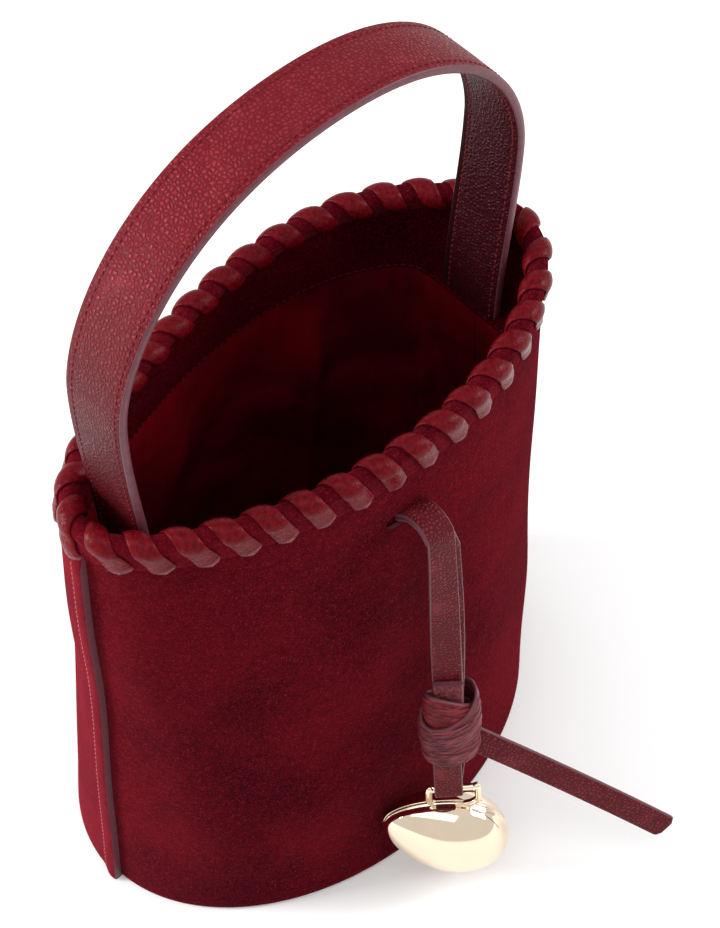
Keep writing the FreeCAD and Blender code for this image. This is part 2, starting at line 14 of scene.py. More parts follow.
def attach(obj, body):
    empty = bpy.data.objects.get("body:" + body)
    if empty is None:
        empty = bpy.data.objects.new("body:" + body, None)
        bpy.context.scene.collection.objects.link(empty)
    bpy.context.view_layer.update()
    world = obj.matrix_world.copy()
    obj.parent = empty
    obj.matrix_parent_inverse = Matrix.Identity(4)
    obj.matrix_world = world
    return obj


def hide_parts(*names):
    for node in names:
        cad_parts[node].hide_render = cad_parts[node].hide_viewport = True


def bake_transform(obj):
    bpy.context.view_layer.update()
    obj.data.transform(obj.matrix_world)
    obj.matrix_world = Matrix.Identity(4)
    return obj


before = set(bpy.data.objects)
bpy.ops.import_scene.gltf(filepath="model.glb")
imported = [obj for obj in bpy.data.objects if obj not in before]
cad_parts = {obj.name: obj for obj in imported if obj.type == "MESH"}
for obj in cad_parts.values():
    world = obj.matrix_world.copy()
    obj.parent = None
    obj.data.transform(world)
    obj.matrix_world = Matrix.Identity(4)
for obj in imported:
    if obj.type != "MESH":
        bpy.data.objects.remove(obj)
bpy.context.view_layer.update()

MM = 0.001
X, Y, Z = Vector((1, 0, 0)), Vector((0, 1, 0)), Vector((0, 0, 1))

# ---- sizes, mostly the CAD's own: the rim and its lace are slimmer here

BODY_HEIGHT = 250.0
MOUTH_HALF_WIDTH, MOUTH_HALF_DEPTH = 103.5, 50.7
MOUTH_PINCH, MOUTH_SHIFT, MOUTH_SHIFT_DIFFERENCE, MOUTH_ASIDE = 0.03, 14.9, 6.5, 1.5
FOOT_HALF_WIDTH, FOOT_HALF_DEPTH = 105.8, 75.1
FOOT_CENTRE = Vector((-2.2, 3.8, 0))
ROLL_RADIUS, ROLL_LEVEL, WALL_FROM_ROLL = 3.8, 244.8, 2.4
WALL_TOP, FACING_FOOT = 239.2, 202.0
SUEDE, BACK_FACE = 1.55, 1.75
FACING_FACE, LINING_FACE = -3.0, -2.7
FACING_FLAT = 86.5
SEAM_LAP, SEAM_TURN = 10.0, 0.06
LACE_TURNS, LACE_WIDTH, LACE_THICKNESS = 34, 8.0, 1.1
LACE_SLANT, LACE_CROWN, LACE_ROUNDING, LACE_STEP = 25, 0.8, 1.9, 0.5
HANDLE_WIDTH, HANDLE_THICKNESS = 27.5, 4.0
HANDLE_RISE, HANDLE_SPREAD, HANDLE_ROOT = 132.9, 90.3, 84.2
HANDLE_TAB_DEPTH, HANDLE_SHOULDER, HANDLE_PIVOT = 38.0, 52.6, 264.0
HANDLE_LEAN, HANDLE_SINK = 2.2, 2.0
STRAP_WIDTH, STRAP_THICKNESS = 11.5, 1.7
SLOT_CENTRE, SLOT_HALF_WIDTH, SLOT_HALF_HEIGHT = Vector((-2.5, 0, 214.5)), 8.6, 3.3
CHARM_PIVOT = Vector((0, -70.0, 211.0))
CHARM_LEAN, CHARM_DRIFT, CHARM_BEND = -6.4, 1.5, 8
KNOT_TURN, CHARM_TURN = -25.0, -40.0
BAIL_DROP, BAIL_WIRE, BAIL_HALF_WIDTH, BAIL_HALF_HEIGHT = 152.0, 1.5, 9.9, 6.0
TAIL_LENGTH = 97.0
PEBBLE_DROP, PEBBLE_OFFSET = 181.2, -3.0
PEBBLE_HALF = Vector((24.0, 15.2, 20.0))
PEBBLE_SLANT, TIP_REACH, TIP_RISE = 4.2, 1.6, 2.4
FRONT, BACK, LEFT, RIGHT = 1.5 * pi, 0.5 * pi, pi, 2 * pi


# ---- materials

def rgb(red, green, blue):
    """Linear colour of an 8-bit screen colour."""
    def linear(value):
        share = value / 255
        return share / 12.92 if share <= 0.04045 else ((share + 0.055) / 1.055) ** 2.4
    return (linear(red), linear(green), linear(blue), 1.0)


def node(tree, kind, inputs=None, **settings):
    """A node; each input is a value or another node's output."""
    made = tree.nodes.new("ShaderNode" + kind)
    for key, value in settings.items():
        setattr(made, key, value)
    for key, value in (inputs or {}).items():
        if isinstance(value, bpy.types.NodeSocket):
            tree.links.new(value, made.inputs[key])
        else:
            made.inputs[key].default_value = value
    return made


def noise(tree, where, scale, detail=3.0, roughness=0.5, distortion=0.0):
    """Height of a noise texture, 0 to 1."""
    inputs = {"Vector": where, "Scale": scale, "Detail": detail, "Roughness": roughness,
              "Distortion": distortion}
    return node(tree, "TexNoise", inputs).outputs["Fac"]


def between(tree, value, low, high, to_low=0.0, to_high=1.0):
    """A value taken from one range to another, smoothly."""
    inputs = {"Value": value, "From Min": low, "From Max": high, "To Min": to_low, "To Max": to_high}
    return node(tree, "MapRange", inputs, interpolation_type="SMOOTHSTEP").outputs["Result"]


def mix(tree, share, first, second):
    """Colour between two others."""
    return node(tree, "Mix", {0: share, 6: first, 7: second}, data_type="RGBA").outputs[2]


def combine(tree, operation, first, second):
    """Sum, product and so on of two values."""
    return node(tree, "Math", {0: first, 1: second}, operation=operation).outputs[0]


def bump(tree, height, depth, under=None):
    """Normal of a height, 0 to 1, whose full step is a depth in millimetres."""
    inputs = {"Height": height, "Distance": depth * MM, "Strength": 1.0}
    if under is not None:
        inputs["Normal"] = under
    return node(tree, "Bump", inputs).outputs["Normal"]


def begin(name, along_surface, **sockets):
    """A material with its texture space: the surface's own UV in metres, or the object's space."""
    material = bpy.data.materials.new(name)
    material.use_nodes = True
    tree = material.node_tree
    for socket, value in sockets.items():
        tree.nodes["Principled BSDF"].inputs[socket.replace("_", " ")].default_value = value
    where = node(tree, "TexCoord").outputs["UV" if along_surface else "Object"]
    return material, tree, where


def finish(material, **sockets):
    """The material, with these outputs joined to its shader."""
    tree = material.node_tree
    for socket, value in sockets.items():
        tree.links.new(value, tree.nodes["Principled BSDF"].inputs[socket.replace("_", " ")])
    return material


def suede_material(name, dark, light, sheen):
    """Brushed suede: soft clouds where the nap lies differently, and fine speckled fibres."""
    material, tree, where = begin(
        name, False, Roughness=0.95, Specular_IOR_Level=0.0, Sheen_Weight=sheen, Sheen_Roughness=0.45,
        Sheen_Tint=rgb(214, 84, 96))
    cloud = noise(tree, where, 16, detail=4, roughness=0.55)
    nap = noise(tree, where, 420, roughness=0.6)
    fibre = noise(tree, where, 1500, detail=2, roughness=0.7)
    share = combine(tree, "MULTIPLY", between(tree, cloud, 0.34, 0.66), 0.6)
    share = combine(tree, "ADD", share, between(tree, nap, 0.34, 0.66, 0.0, 0.4))
    colour = mix(tree, share, dark, light)
    colour = mix(tree, between(tree, fibre, 0.52, 0.74, 0.0, 0.55), colour, rgb(134, 40, 50))
    normal = bump(tree, fibre, 0.12)
    return finish(material, Base_Color=colour, Normal=bump(tree, nap, 0.22, normal))


def pebbled_material(name, colour, crease_tone_and_shade, relief, worn, length=0.0):
    """Pebbled leather: small raised pebbles between darker creases; a long strap gets painted shade towards
    both its ends.
    """
    material, tree, where = begin(name, True, Specular_IOR_Level=0.1)
    cell = 1.6 * MM
    warp = node(tree, "TexNoise", {"Vector": where, "Scale": 0.35 / cell, "Detail": 2.0})
    shift = node(tree, "VectorMath", {0: warp.outputs["Color"], 3: 1.1 * cell}, operation="SCALE")
    place = node(tree, "VectorMath", {0: where, 1: shift.outputs[0]}, operation="ADD")
    cells = node(tree, "TexVoronoi",
                 {"Vector": place.outputs[0], "Scale": 1 / cell, "Randomness": 0.9},
                 feature="DISTANCE_TO_EDGE")
    crease = between(tree, cells.outputs["Distance"], 0.0, 0.42)
    fine = noise(tree, where, 2600)
    broad = noise(tree, where, 60)
    raised = combine(tree, "MULTIPLY", crease, between(tree, broad, 0.2, 0.7, 0.6, 1.0))
    # The creases take a darker colour: partly the grain's own tone, partly painted shade in the hollows.
    tone = mix(tree, raised, crease_tone_and_shade, colour)
    tone = mix(tree, between(tree, broad, 0.55, 0.8, 0.0, 0.5), tone, worn)
    # Painted shade: a long strap's tone darkens towards both its ends.
    if length:
        half, first, last = length / 2, 190, 60
        along = node(tree, "SeparateXYZ", {0: where}).outputs[0]
        from_middle = combine(tree, "ABSOLUTE", combine(tree, "SUBTRACT", along, half * MM), 0.0)
        end_shade = between(tree, from_middle, (half - first) * MM, (half - last) * MM, 0.0, 0.74)
        tone = mix(tree, end_shade, tone, rgb(40, 3, 9))
    normal = bump(tree, fine, 0.05)
    return finish(material, Base_Color=tone, Roughness=between(tree, crease, 0, 1, 0.5, 0.32),
                  Normal=bump(tree, crease, relief, normal))


def creased_material(name, dark, light, worn):
    """Strap leather stretched round the knot: wavy creases that run along the strap."""
    material, tree, where = begin(name, True, Specular_IOR_Level=0.15)
    along = node(tree, "Mapping", {"Vector": where, "Scale": (0.16, 1.0, 1.0)}).outputs[0]
    folds = noise(tree, along, 620, detail=4, roughness=0.6, distortion=0.9)
    crease = between(tree, folds, 0.36, 0.58)
    grain = noise(tree, where, 1300)
    # Painted shade: the hollows of the creases take the dark colour.
    colour = mix(tree, crease, dark, light)
    colour = mix(tree, between(tree, grain, 0.5, 0.8, 0.0, 0.4), colour, worn)
    normal = bump(tree, grain, 0.08)
    return finish(material, Base_Color=colour, Roughness=between(tree, crease, 0, 1, 0.6, 0.45),
                  Normal=bump(tree, crease, 0.4, normal))


def lace_material():
    """Smooth glossy lace leather; the painted last few millimetres are a duller mauve."""
    material, tree, where = begin("lace_leather", True, Specular_IOR_Level=0.08)
    from_end = node(tree, "SeparateXYZ", {0: where}).outputs[0]
    mottle = noise(tree, where, 600, detail=4, roughness=0.65)
    edge = combine(tree, "ADD", from_end, between(tree, mottle, 0.2, 0.8, -0.001, 0.001))
    painted = between(tree, edge, 0.0, 0.0026, 1.0, 0.0)
    creases = noise(tree, where, 800, detail=4, roughness=0.6, distortion=0.4)
    red = mix(tree, between(tree, mottle, 0.3, 0.7), rgb(76, 3, 11), rgb(110, 11, 21))
    mauve = mix(tree, between(tree, mottle, 0.35, 0.65), rgb(84, 34, 42), rgb(146, 92, 98))
    return finish(material, Base_Color=mix(tree, painted, red, mauve),
                  Roughness=between(tree, creases, 0.3, 0.7, 0.2, 0.34), Normal=bump(tree, creases, 0.25))


def grained_material(name, first, second, relief, grain, **sockets):
    """Plain stuff with one cloudy grain; grain holds the settings of its noise."""
    material, tree, where = begin(name, False, **sockets)
    height = noise(tree, where, **grain)
    return finish(material, Base_Color=mix(tree, height, first, second), Normal=bump(tree, height, relief))


def flesh_material():
    """Rough back of the leather, seen in the knot's mouth."""
    material, tree, where = begin("leather_flesh", False, Roughness=0.9)
    shags = noise(tree, where, 900, detail=5, roughness=0.75, distortion=1.5)
    colour = mix(tree, between(tree, shags, 0.42, 0.68), rgb(62, 4, 14), rgb(176, 66, 76))
    return finish(material, Base_Color=colour, Normal=bump(tree, shags, 0.9))


def lining_material():
    """Soft woven lining with a faint weave."""
    material, tree, where = begin("lining_cloth", False, Roughness=0.85, Specular_IOR_Level=0.06)
    cloud = noise(tree, where, 26, detail=4, distortion=0.5)
    threads = []
    for direction in ("X", "Z"):
        wave = node(tree, "TexWave", {"Vector": where, "Scale": 420.0, "Distortion": 0.6},
                    bands_direction=direction)
        threads.append(wave.outputs["Fac"])
    weave = combine(tree, "MULTIPLY", *threads)
    colour = mix(tree, between(tree, cloud, 0.35, 0.7), rgb(76, 0, 10), rgb(122, 0, 18))
    return finish(material, Base_Color=colour, Normal=bump(tree, weave, 0.12))


def thread_material(name, dark, light):
    """Waxed polyester thread with a twist."""
    material, tree, where = begin(name, False, Roughness=0.5, Specular_IOR_Level=0.1)
    twist = node(tree, "TexWave", {"Vector": where, "Scale": 700.0, "Distortion": 1.0},
                 bands_direction="DIAGONAL").outputs["Fac"]
    colour = mix(tree, twist, dark, light)
    return finish(material, Base_Color=colour, Normal=bump(tree, twist, 0.1))


def gold_material():
    """Polished pale gold plate with the faintest haze."""
    material, tree, where = begin("polished_gold", False, Metallic=1.0)
    haze = noise(tree, where, 90, detail=4)
    colour = mix(tree, haze, rgb(236, 214, 188), rgb(244, 226, 202))
    return finish(material, Base_Color=colour, Roughness=between(tree, haze, 0.35, 0.7, 0.045, 0.085))


def fibre_material(name, first, second, scale, relief):
    """Plain fibrous stuff for hidden pieces: the board and the filler cord."""
    grain = {"scale": scale, "detail": 5, "roughness": 0.7, "distortion": 0.8}
    return grained_material(name, first, second, relief, grain, Roughness=0.9)


def floor_material():
    """Plain pale studio floor."""
    material, tree, where = begin("studio_floor", False, Roughness=0.8,
                                                   Emission_Color=(1, 1, 1, 1), Emission_Strength=0.03)
    shade = noise(tree, where, 3, detail=2)
    return finish(material, Base_Color=mix(tree, shade, (0.93, 0.93, 0.93, 1), (0.96, 0.96, 0.96, 1)))


SUEDE_SKIN = suede_material("brushed_suede", rgb(38, 1, 8), rgb(80, 6, 16), 0.2)
# Painted light: the back panel is a lighter copy of the suede, for the glancing light on its strip at the
# side seam.
BACK_SKIN = suede_material("back_suede_painted_light", rgb(50, 3, 11), rgb(92, 12, 23), 0.4)
# Painted light: the rolled edge is a lighter copy of the suede, where the top of the roll catches the light.
ROLL_SKIN = suede_material("rolled_suede", rgb(52, 3, 11), rgb(90, 10, 22), 0.18)
# Painted shade: the facing is a darker copy of the wall suede, for the shade inside the bag.
FACING_SKIN = suede_material("facing_suede", rgb(40, 0, 4), rgb(66, 1, 8), 0.03)
STRAP_SKIN = pebbled_material("strap_leather", rgb(120, 34, 43), rgb(76, 12, 21), 0.34, rgb(132, 48, 56))
KNOT_SKIN = creased_material("creased_leather", rgb(60, 10, 18), rgb(114, 44, 53), rgb(132, 68, 75))
INNER_TURN_SKIN = creased_material("red_creased_leather", rgb(58, 2, 10), rgb(120, 20, 32),
                                   rgb(140, 44, 54))
LACE_SKIN = lace_material()
PAINT = grained_material("edge_paint", rgb(80, 36, 45), rgb(108, 60, 69), 0.12, {"scale": 420, "detail": 2},
                         Roughness=0.42, Specular_IOR_Level=0.3)
STRAP_SKINS = [STRAP_SKIN, STRAP_SKIN, PAINT]
FLESH = flesh_material()
LINING_CLOTH = lining_material()
THREAD = thread_material("thread", rgb(136, 46, 54), rgb(184, 92, 98))
HANDLE_THREAD = thread_material("handle_thread", rgb(80, 10, 20), rgb(116, 26, 36))
INNER_THREAD = thread_material("inner_thread", rgb(74, 3, 11), rgb(102, 8, 18))
GOLD = gold_material()


# ---- meshes

def add_mesh(name, points, faces, materials, kinds=None, uvs=None, sharp=50):
    """A smooth mesh object from points in millimetres; kinds gives each face its material."""
    mesh = bpy.data.meshes.new(name)
    mesh.from_pydata([p * MM for p in points], [], faces)
    for material in materials:
        mesh.materials.append(material)
    if kinds:
        mesh.polygons.foreach_set("material_index", kinds)
    if uvs:
        layer = mesh.uv_layers.new(name="UVMap")
        for loop in mesh.loops:
            layer.data[loop.index].uv = [value * MM for value in uvs[loop.vertex_index]]
    mesh.polygons.foreach_set("use_smooth", [True] * len(faces))
    mesh.set_sharp_from_angle(angle=radians(sharp))
    mesh.validate()
    made = bpy.data.objects.new(name, mesh)
    bpy.context.scene.collection.objects.link(made)
    return made


def settle(piece, body, slot, *nodes):
    """Put a finished piece on its body, in place of its CAD nodes."""
    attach(piece, body)
    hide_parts(*nodes)
    return piece


def grid(rows, columns, first=0, round_rows=False, round_columns=False, flip=False):
    """Quads of a grid whose points run along each row in turn; either way can close on itself."""
    faces = []
    for r in range(rows if round_rows else rows - 1):
        here, there = first + r * columns, first + (r + 1) % rows * columns
        for c in range(columns if round_columns else columns - 1):
            d = (c + 1) % columns
            face = (here + c, here + d, there + d, there + c)
            faces.append(face[:1] + face[:0:-1] if flip else face)
    return faces


def rod(rows, columns, first=0):
    """Faces of a rod: rings of points in turn, with a face over each end."""
    last = first + (rows - 1) * columns
    ends = [tuple(reversed(range(first, first + columns))), tuple(range(last, last + columns))]
    return grid(rows, columns, first, round_columns=True) + ends


def arc(heart, aside, up, radius, turns):
    """Points round a centre at turns in degrees, which run from the aside direction to up."""
    angles = [radians(turn) for turn in turns]
    return [heart + (aside * cos(angle) + up * sin(angle)) * radius for angle in angles]


def shell(name, outer, inner, faces, skin, rim, painted):
    """Closed sheet between two matching sets of points.

    The cut edges between two painted points get the rim material.
    """
    count = len(outer)
    uses = Counter(frozenset(edge) for face in faces for edge in zip(face, face[1:] + face[:1]))
    every = faces + [tuple(i + count for i in reversed(face)) for face in faces]
    kinds = [0] * len(every)
    for face in faces:
        for a, b in zip(face, face[1:] + face[:1]):
            if uses[frozenset((a, b))] == 1:
                every.append((b, a, a + count, b + count))
                kinds.append(1 if a in painted and b in painted else 0)
    return add_mesh(name, outer + inner, every, [skin, rim], kinds)


def steps(first, last, spacing):
    """Even values from first to last, about a spacing apart."""
    count = max(1, round(abs(last - first) / spacing))
    return [first + (last - first) * i / count for i in range(count + 1)]


def smooth(value):
    """0 to 1, level at both ends."""
    value = min(max(value, 0.0), 1.0)
    return value * value * (3 - 2 * value)


def smooth_path(knots, step):
    """Evenly spaced points of a Catmull-Rom curve through the knots."""
    dense = []
    for i in range(len(knots) - 1):
        a, b, c, d = (knots[min(max(j, 0), len(knots) - 1)] for j in (i - 1, i, i + 1, i + 2))
        for k in range(24):
            u = k / 24
            dense.append(0.5 * (2 * b + (c - a) * u + (2 * a - 5 * b + 4 * c - d) * u ** 2
                                + (3 * b - a - 3 * c + d) * u ** 3))
    dense.append(knots[-1])
    return respace(dense, step)


def reaches(points):
    """Distance of each point from the first, along the line."""
    return list(accumulate(((b - a).length for a, b in zip(points, points[1:])), initial=0.0))


def respace(points, step):
    """The same line with its points a step apart."""
    reach = reaches(points)
    spaced, i = [], 0
    for target in steps(0, reach[-1], step):
        while i < len(points) - 2 and reach[i + 1] < target:
            i += 1
        spaced.append(points[i].lerp(points[i + 1], (target - reach[i]) / (reach[i + 1] - reach[i])))
    return spaced


class Run:
    """A strap's centreline with its directions: along it, across it and out of its face."""

    def __init__(self, points, across):
        self.points, self.reach = points, reaches(points)
        self.along, self.across, self.out = [], [], []
        for i in range(len(points)):
            along = (points[min(i + 1, len(points) - 1)] - points[max(i - 1, 0)]).normalized()
            side = across[i] if isinstance(across, list) else across
            side = (side - along * side.dot(along)).normalized()
            self.along.append(along)
            self.across.append(side)
            self.out.append(along.cross(side))

    def at(self, distance):
        """Point and directions at a distance from the start."""
        i = 0
        while i < len(self.points) - 2 and self.reach[i + 1] < distance:
            i += 1
        share = (distance - self.reach[i]) / (self.reach[i + 1] - self.reach[i])
        return [row[i].lerp(row[i + 1], share)
                for row in (self.points, self.along, self.across, self.out)]


def strap_outline(half_width, half_thick, crown, groove):
    """Section of a strap: (across, out, kind) with 0 the face, 1 the back and 2 the painted edge."""
    corner = min(0.45 * half_thick, 0.5)
    flat = half_width - corner
    lanes = [-1 + i / 6 for i in range(13)]
    outline = []

    def face(lane):
        dip = groove * exp(-((abs(lane) * flat - (half_width - 3.0)) / 0.7) ** 2) if groove else 0.0
        return half_thick + crown * (1 - lane ** 2) - dip

    for kind, way in ((1, -1), (0, 1)):
        for i, lane in enumerate(lanes):
            across = way * -lane * flat
            outline.append((across, way * face(lane), kind if i < len(lanes) - 1 else 2))
        edge = -way * half_width
        outline.append((edge, way * (half_thick - corner), 2))
        outline.append((edge - way * 0.12 * half_thick, 0.0, 2))
        outline.append((edge, -way * (half_thick - corner), 2))
    return outline


def strap(name, run, width, thick, materials, crown=0.0, groove=0.0, round_start=0.0, round_end=0.0):
    """A strap along a run, with rounded corners at either end."""
    points, uvs = [], []
    length = run.reach[-1]
    template = strap_outline(width / 2, thick / 2, crown, groove)
    for i, centre in enumerate(run.points):
        half = width / 2
        for distance, radius in ((run.reach[i], round_start), (length - run.reach[i], round_end)):
            if distance < radius:
                half = min(half, width / 2 - radius + sqrt(radius ** 2 - (radius - distance) ** 2))
        for across, out, kind in template:
            points.append(centre + run.across[i] * (across / (width / 2) * half) + run.out[i] * out)
            uvs.append((run.reach[i], across + 3 * width if kind == 1 else across))
    kinds = [kind for _, _, kind in template] * (len(run.points) - 1) + [2, 2]
    return add_mesh(name, points, rod(len(run.points), len(template)), materials, kinds, uvs, sharp=62)


def stitches(name, rows, pitch=3.1, length=2.3, radius=0.36, sunk=0.08, thread=THREAD):
    """Rows of separate stitches; a row is a Run and how far across and out of it the row lies."""
    points, faces = [], []
    shape = ((-0.5, 0.2, -0.9), (-0.36, 0.85, -0.1), (0.0, 1.0, 0.2), (0.36, 0.85, -0.1), (0.5, 0.2, -0.9))
    for run, across, out in rows:
        for k in range(int(run.reach[-1] / pitch)):
            centre, along, side, up = run.at((k + 0.5) * pitch)
            faces += rod(len(shape), 6, len(points))
            for place, fat, rise in shape:
                heart = centre + along * (place * length) + side * across + up * (out - sunk + rise * radius)
                points += arc(heart, side, up, radius * fat, range(0, 360, 60))
    return add_mesh(name, points, faces, [thread], sharp=80)


# ---- outline of the bag

def mouth_point(t):
    """Centre of the rim roll."""
    pinch = 1 - MOUTH_PINCH * sin(2 * t) ** 2
    shift = MOUTH_SHIFT + MOUTH_SHIFT_DIFFERENCE * sin(t)
    return Vector((MOUTH_ASIDE + MOUTH_HALF_WIDTH * cos(t) * pinch + shift * sin(t) ** 2,
                   MOUTH_HALF_DEPTH * sin(t) * pinch, 0))


def foot_point(t):
    """Outline of the base."""
    return FOOT_CENTRE + Vector((FOOT_HALF_WIDTH * cos(t), FOOT_HALF_DEPTH * sin(t), 0))


def outward(curve, t):
    """Unit normal of a plane outline."""
    along = curve(t + 1e-3) - curve(t - 1e-3)
    return Vector((along.y, -along.x, 0)).normalized()


def slack(t, level):
    """How far the soft wall stands out of its cut shape: slow waves, and a soft dent and bulge."""
    firm = smooth(level / 45) * smooth((203 - level) / 60)
    wave = (0.55 * sin(3 * t + 0.8 + level * 0.012) + 0.4 * sin(7 * t - level * 0.023)
            + 0.22 * sin(13 * t + level * 0.035 + 1))
    for turn, up, wide, tall, amount in ((-6, 62, 24, 24, 2.4), (-4, 125, 22, 30, -2.4),
                                         (188, 130, 30, 50, -1.8), (238, 60, 24, 30, 1.0)):
        gap = (degrees(t) - turn + 180) % 360 - 180
        wave += amount * exp(-(gap / wide) ** 2 - ((level - up) / tall) ** 2)
    return firm * wave


def wall_point(t, level, offset):
    """Point of the wall; offset 0 is the front panel's outer face, minus is inward."""
    foot_out = outward(foot_point, t)
    foot = foot_point(t) + foot_out * offset
    mouth = mouth_point(t) + outward(mouth_point, t) * (WALL_FROM_ROLL + offset)
    point = foot.lerp(mouth, level / ROLL_LEVEL) + foot_out * slack(t, level)
    point.z = level
    return point


def pulled_flat(x, flat):
    """Draw a side in to a flat, with rounded corners."""
    reach = max(abs(x), 1.0)
    return copysign((reach ** -30 + flat ** -30) ** (-1 / 30), x)


def turned_in(level, radius=1.9):
    """How far the wall's lower edge rounds under."""
    if level >= radius:
        return 0.0
    return radius - sqrt(radius ** 2 - (radius - level) ** 2)


# ---- body of the bag

def front_panel():
    """Front suede panel with the slit for the charm strap."""
    lap = SEAM_LAP / FOOT_HALF_DEPTH
    turns = steps(LEFT - lap, RIGHT + lap, radians(0.85))
    levels = [0, 0.3, 0.8, 1.9] + steps(4, 238, 1.8)
    per_radian = 105
    middle = FRONT + (SLOT_CENTRE.x - wall_point(FRONT, SLOT_CENTRE.z, 0).x) / per_radian
    stretch = (wall_point(middle + 0.01, SLOT_CENTRE.z, 0) - wall_point(middle, SLOT_CENTRE.z, 0)).x / 0.01

    def slot_reach(t, level):
        """1 on the slit's outline, less inside it."""
        aside, up = (t - middle) * stretch / SLOT_HALF_WIDTH, (level - SLOT_CENTRE.z) / SLOT_HALF_HEIGHT
        return (abs(aside) ** 4 + abs(up) ** 4) ** 0.25

    places = [(t, level) for level in levels for t in turns]
    faces = [face for face in grid(len(levels), len(turns))
             if slot_reach(*(sum(places[i][axis] for i in face) / 4 for axis in (0, 1))) > 1]
    used = Counter(i for face in faces for i in face)
    painted = set()
    for i, (t, level) in enumerate(places):
        if used[i] < 4 and slot_reach(t, level) < 1.6:
            reach = slot_reach(t, level)
            places[i] = (middle + (t - middle) / reach, SLOT_CENTRE.z + (level - SLOT_CENTRE.z) / reach)
            painted.add(i)
    outer = [wall_point(t, level, -turned_in(level)) for t, level in places]
    inner = [wall_point(t, level, -turned_in(level) - SUEDE) for t, level in places]
    panel = shell("front_panel_suede", outer, inner, faces, SUEDE_SKIN, PAINT, painted)
    settle(panel, "bag", "suede", "front_panel")


def edge_build(t, level):
    """The back panel thickens to its backed and painted edges at the side seams."""
    from_edge = min(abs(t + SEAM_TURN), abs(LEFT + SEAM_TURN - t)) * FOOT_HALF_DEPTH
    return 2.0 * (1 - smooth((from_edge - 2) / 7)) * smooth((238 - level) / 10)


def back_panel():
    """Back suede panel, lapped over the front panel at both side seams."""
    first, last, fine = -SEAM_TURN, LEFT + SEAM_TURN, 0.03
    turns = steps(first, first + fine, 0.005)[:-1] + steps(first + fine, last - fine, radians(0.9))
    turns += steps(last - fine, last, 0.005)[1:]
    levels = [0, 0.3, 0.8, 1.9] + steps(4, 238, 2.2)
    outer, inner, painted = [], [], set()
    for level in levels:
        for t in turns:
            from_edge = min(t - first, last - t) * FOOT_HALF_DEPTH
            rounding = 0.35 * (1 - smooth(from_edge / 0.8))
            if t in (turns[0], turns[-1]):
                painted.add(len(outer))
            tuck = turned_in(level) + rounding
            outer.append(wall_point(t, level, BACK_FACE + edge_build(t, level) - tuck))
            inner.append(wall_point(t, level, 0.12 - turned_in(level)))
    panel = shell("back_panel_suede", outer, inner, grid(len(levels), len(turns)), BACK_SKIN, PAINT, painted)
    settle(panel, "bag", "suede", "back_panel")


def side_seam_stitches():
    """Stitching beside each painted panel edge."""
    for side, seam, way in (("left", LEFT + SEAM_TURN, -1), ("right", -SEAM_TURN, 1)):
        t = seam + way * 6.0 / FOOT_HALF_DEPTH
        line = [wall_point(t, level, BACK_FACE + edge_build(t, level)) for level in steps(4, 232, 2.0)]
        row = Run(line, outward(foot_point, t).cross(Z))
        threads = stitches("side_seam_stitches_" + side, [(row, 0, 0)], radius=0.42, sunk=0.06)
        settle(threads, "bag", "thread", "seam_thread_" + side)


def inner_wall(name, t_from, t_to, low, high, face, thick, pull, skin, fold, spacing):
    """Sheet inside the bag; pull(level) is how much of it is drawn flat, fold() moves it inward."""
    turns = steps(t_from, t_to, radians(1.2))
    levels = steps(low, high, spacing)
    outer, inner = [], []
    for level in levels:
        for t in turns:
            inset = fold(t, level)
            for points, offset in ((outer, face + thick - inset), (inner, face - inset)):
                point = wall_point(t, level, offset)
                flat = pulled_flat(point.x, FACING_FLAT + offset - face)
                point.x += (flat - point.x) * pull(level)
                points.append(point)
    return shell(name, outer, inner, grid(len(levels), len(turns)), skin, skin, ())


def lining_fold(t, level):
    """Loose folds of the lining, sewn in at the top and the bottom."""
    free = smooth((level - 6) / 40) * smooth((FACING_FOOT - level) / 55)
    folds = 1.2 + 1.1 * sin(5 * t + level * 0.02) + 0.8 * sin(11 * t - level * 0.045 + 1)
    for turn, depth, wide, lean in ((62, 6.5, 4.5, 0.04), (118, 4.5, 7, -0.05), (200, 4, 6, 0.03),
                                    (318, 5, 6, -0.04), (20, 4, 5, 0.05)):
        gap = (degrees(t) - turn - lean * level + 180) % 360 - 180
        folds += depth * exp(-(gap / wide) ** 2)
    pucker = 0.35 * sin(46 * t + 2 * sin(9 * t)) * smooth((level - 150) / 50)
    return free * folds + pucker * smooth((FACING_FOOT + 1 - level) / 6)


def inner_walls():
    """Suede facing under the rim with its seam, and the lining below it."""
    halves = (("front", LEFT + 0.002, RIGHT - 0.002), ("back", 0.002, LEFT - 0.002))
    for side, t_from, t_to in halves:
        facing = inner_wall("facing_band_" + side, t_from, t_to, FACING_FOOT, WALL_TOP + 0.6, FACING_FACE,
                            1.2, lambda level: 1 - (level - FACING_FOOT) / (WALL_TOP - FACING_FOOT),
                            FACING_SKIN, lambda t, level: 0.0, 3.0)
        settle(facing, "bag", "facing_suede", "facing_" + side)
        lining = inner_wall("lining_cloth_" + side, t_from, t_to, 5.4, FACING_FOOT + 0.4, LINING_FACE, 0.7,
                            lambda level: level / FACING_FOOT, LINING_CLOTH, lining_fold, 2.4)
        settle(lining, "bag", "lining", "lining_" + side)
        line = []
        for t in steps(t_from, t_to, radians(1.0)):
            point = wall_point(t, FACING_FOOT + 1.6, FACING_FACE)
            point.x += (pulled_flat(point.x, FACING_FLAT) - point.x) * 0.96
            line.append(point)
        row = Run(respace(line, 2.0), Z)
        threads = stitches("facing_stitches_" + side, [(row, 0, -0.05)], radius=0.34, thread=INNER_THREAD)
        settle(threads, "bag", "thread", "facing_thread_" + side)


